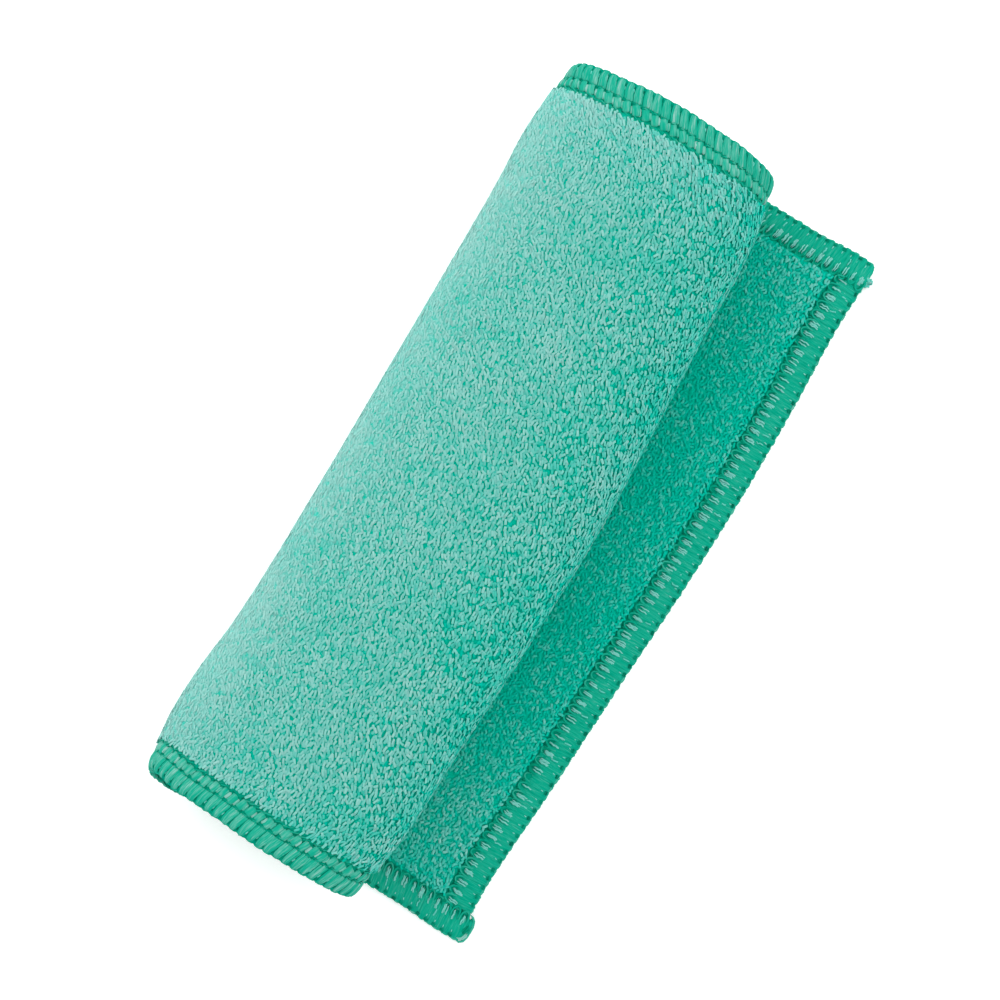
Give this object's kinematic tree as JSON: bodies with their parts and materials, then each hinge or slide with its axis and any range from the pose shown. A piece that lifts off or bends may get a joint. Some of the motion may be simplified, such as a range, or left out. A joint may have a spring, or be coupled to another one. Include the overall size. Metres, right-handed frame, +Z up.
{
  "type": "rolled microfibre cloth",
  "caption": "Looped microfibre cleaning cloth with an overlocked edge, rolled up loosely, with one loose end lying flat beside the roll.",
  "frame": {"origin": "centre of the bounding box, on the ground the cloth lies on", "axes": "+Y along the roll's axis, +X across it towards the loose end, +Z up"},
  "size_m": [0.0944, 0.2014, 0.0374],
  "materials": {
    "microfibre_terry": "soft looped pile, matt with a faint sheen"
  },
  "bodies": {
    "root": {"cloth": "microfibre_terry"}
  },
  "joints": []
}
